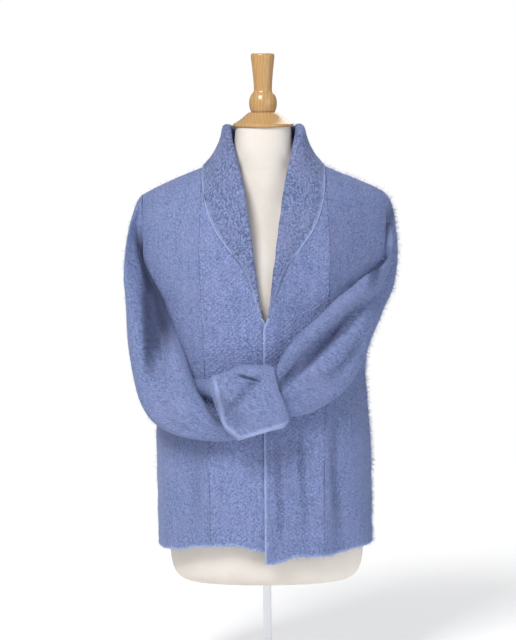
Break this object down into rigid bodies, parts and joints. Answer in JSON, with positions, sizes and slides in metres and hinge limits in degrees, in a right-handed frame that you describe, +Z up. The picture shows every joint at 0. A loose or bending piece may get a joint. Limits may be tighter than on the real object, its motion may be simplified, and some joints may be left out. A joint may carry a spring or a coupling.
{
  "type": "cardigan on a dress form",
  "caption": "Brushed knit cardigan with a shawl collar, its sleeves tied in a half knot in front, on a limbless dress form with a turned wooden cap and finial, a steel pole and a round base.",
  "frame": {"origin": "centre of the base plate's underside, on the pole's axis", "axes": "+Z up along the pole; the front of the cardigan faces -Y and the wearer's right is -X"},
  "size_m": [0.5149, 0.3445, 1.1762],
  "materials": {
    "stocking_knit": "brushed mohair knit in stocking stitch, soft halo of fibres",
    "moss_knit": "brushed mohair knit in moss stitch, pebbled",
    "form_jersey": "ivory jersey stretched over the form",
    "turned_wood": "turned pale hardwood with a clear gloss varnish",
    "stand_steel": "polished plated steel"
  },
  "bodies": {
    "root": {"back": "stocking_knit", "right_front": "stocking_knit", "left_front": "stocking_knit", "right_sleeve": "stocking_knit", "left_sleeve": "stocking_knit", "right_band": "moss_knit", "left_band": "moss_knit", "shawl_collar": "moss_knit", "form_torso": "form_jersey", "neck_cap": "turned_wood", "finial": "turned_wood", "pole": "stand_steel", "pole_socket": "stand_steel", "base_plate": "stand_steel"}
  },
  "joints": []
}
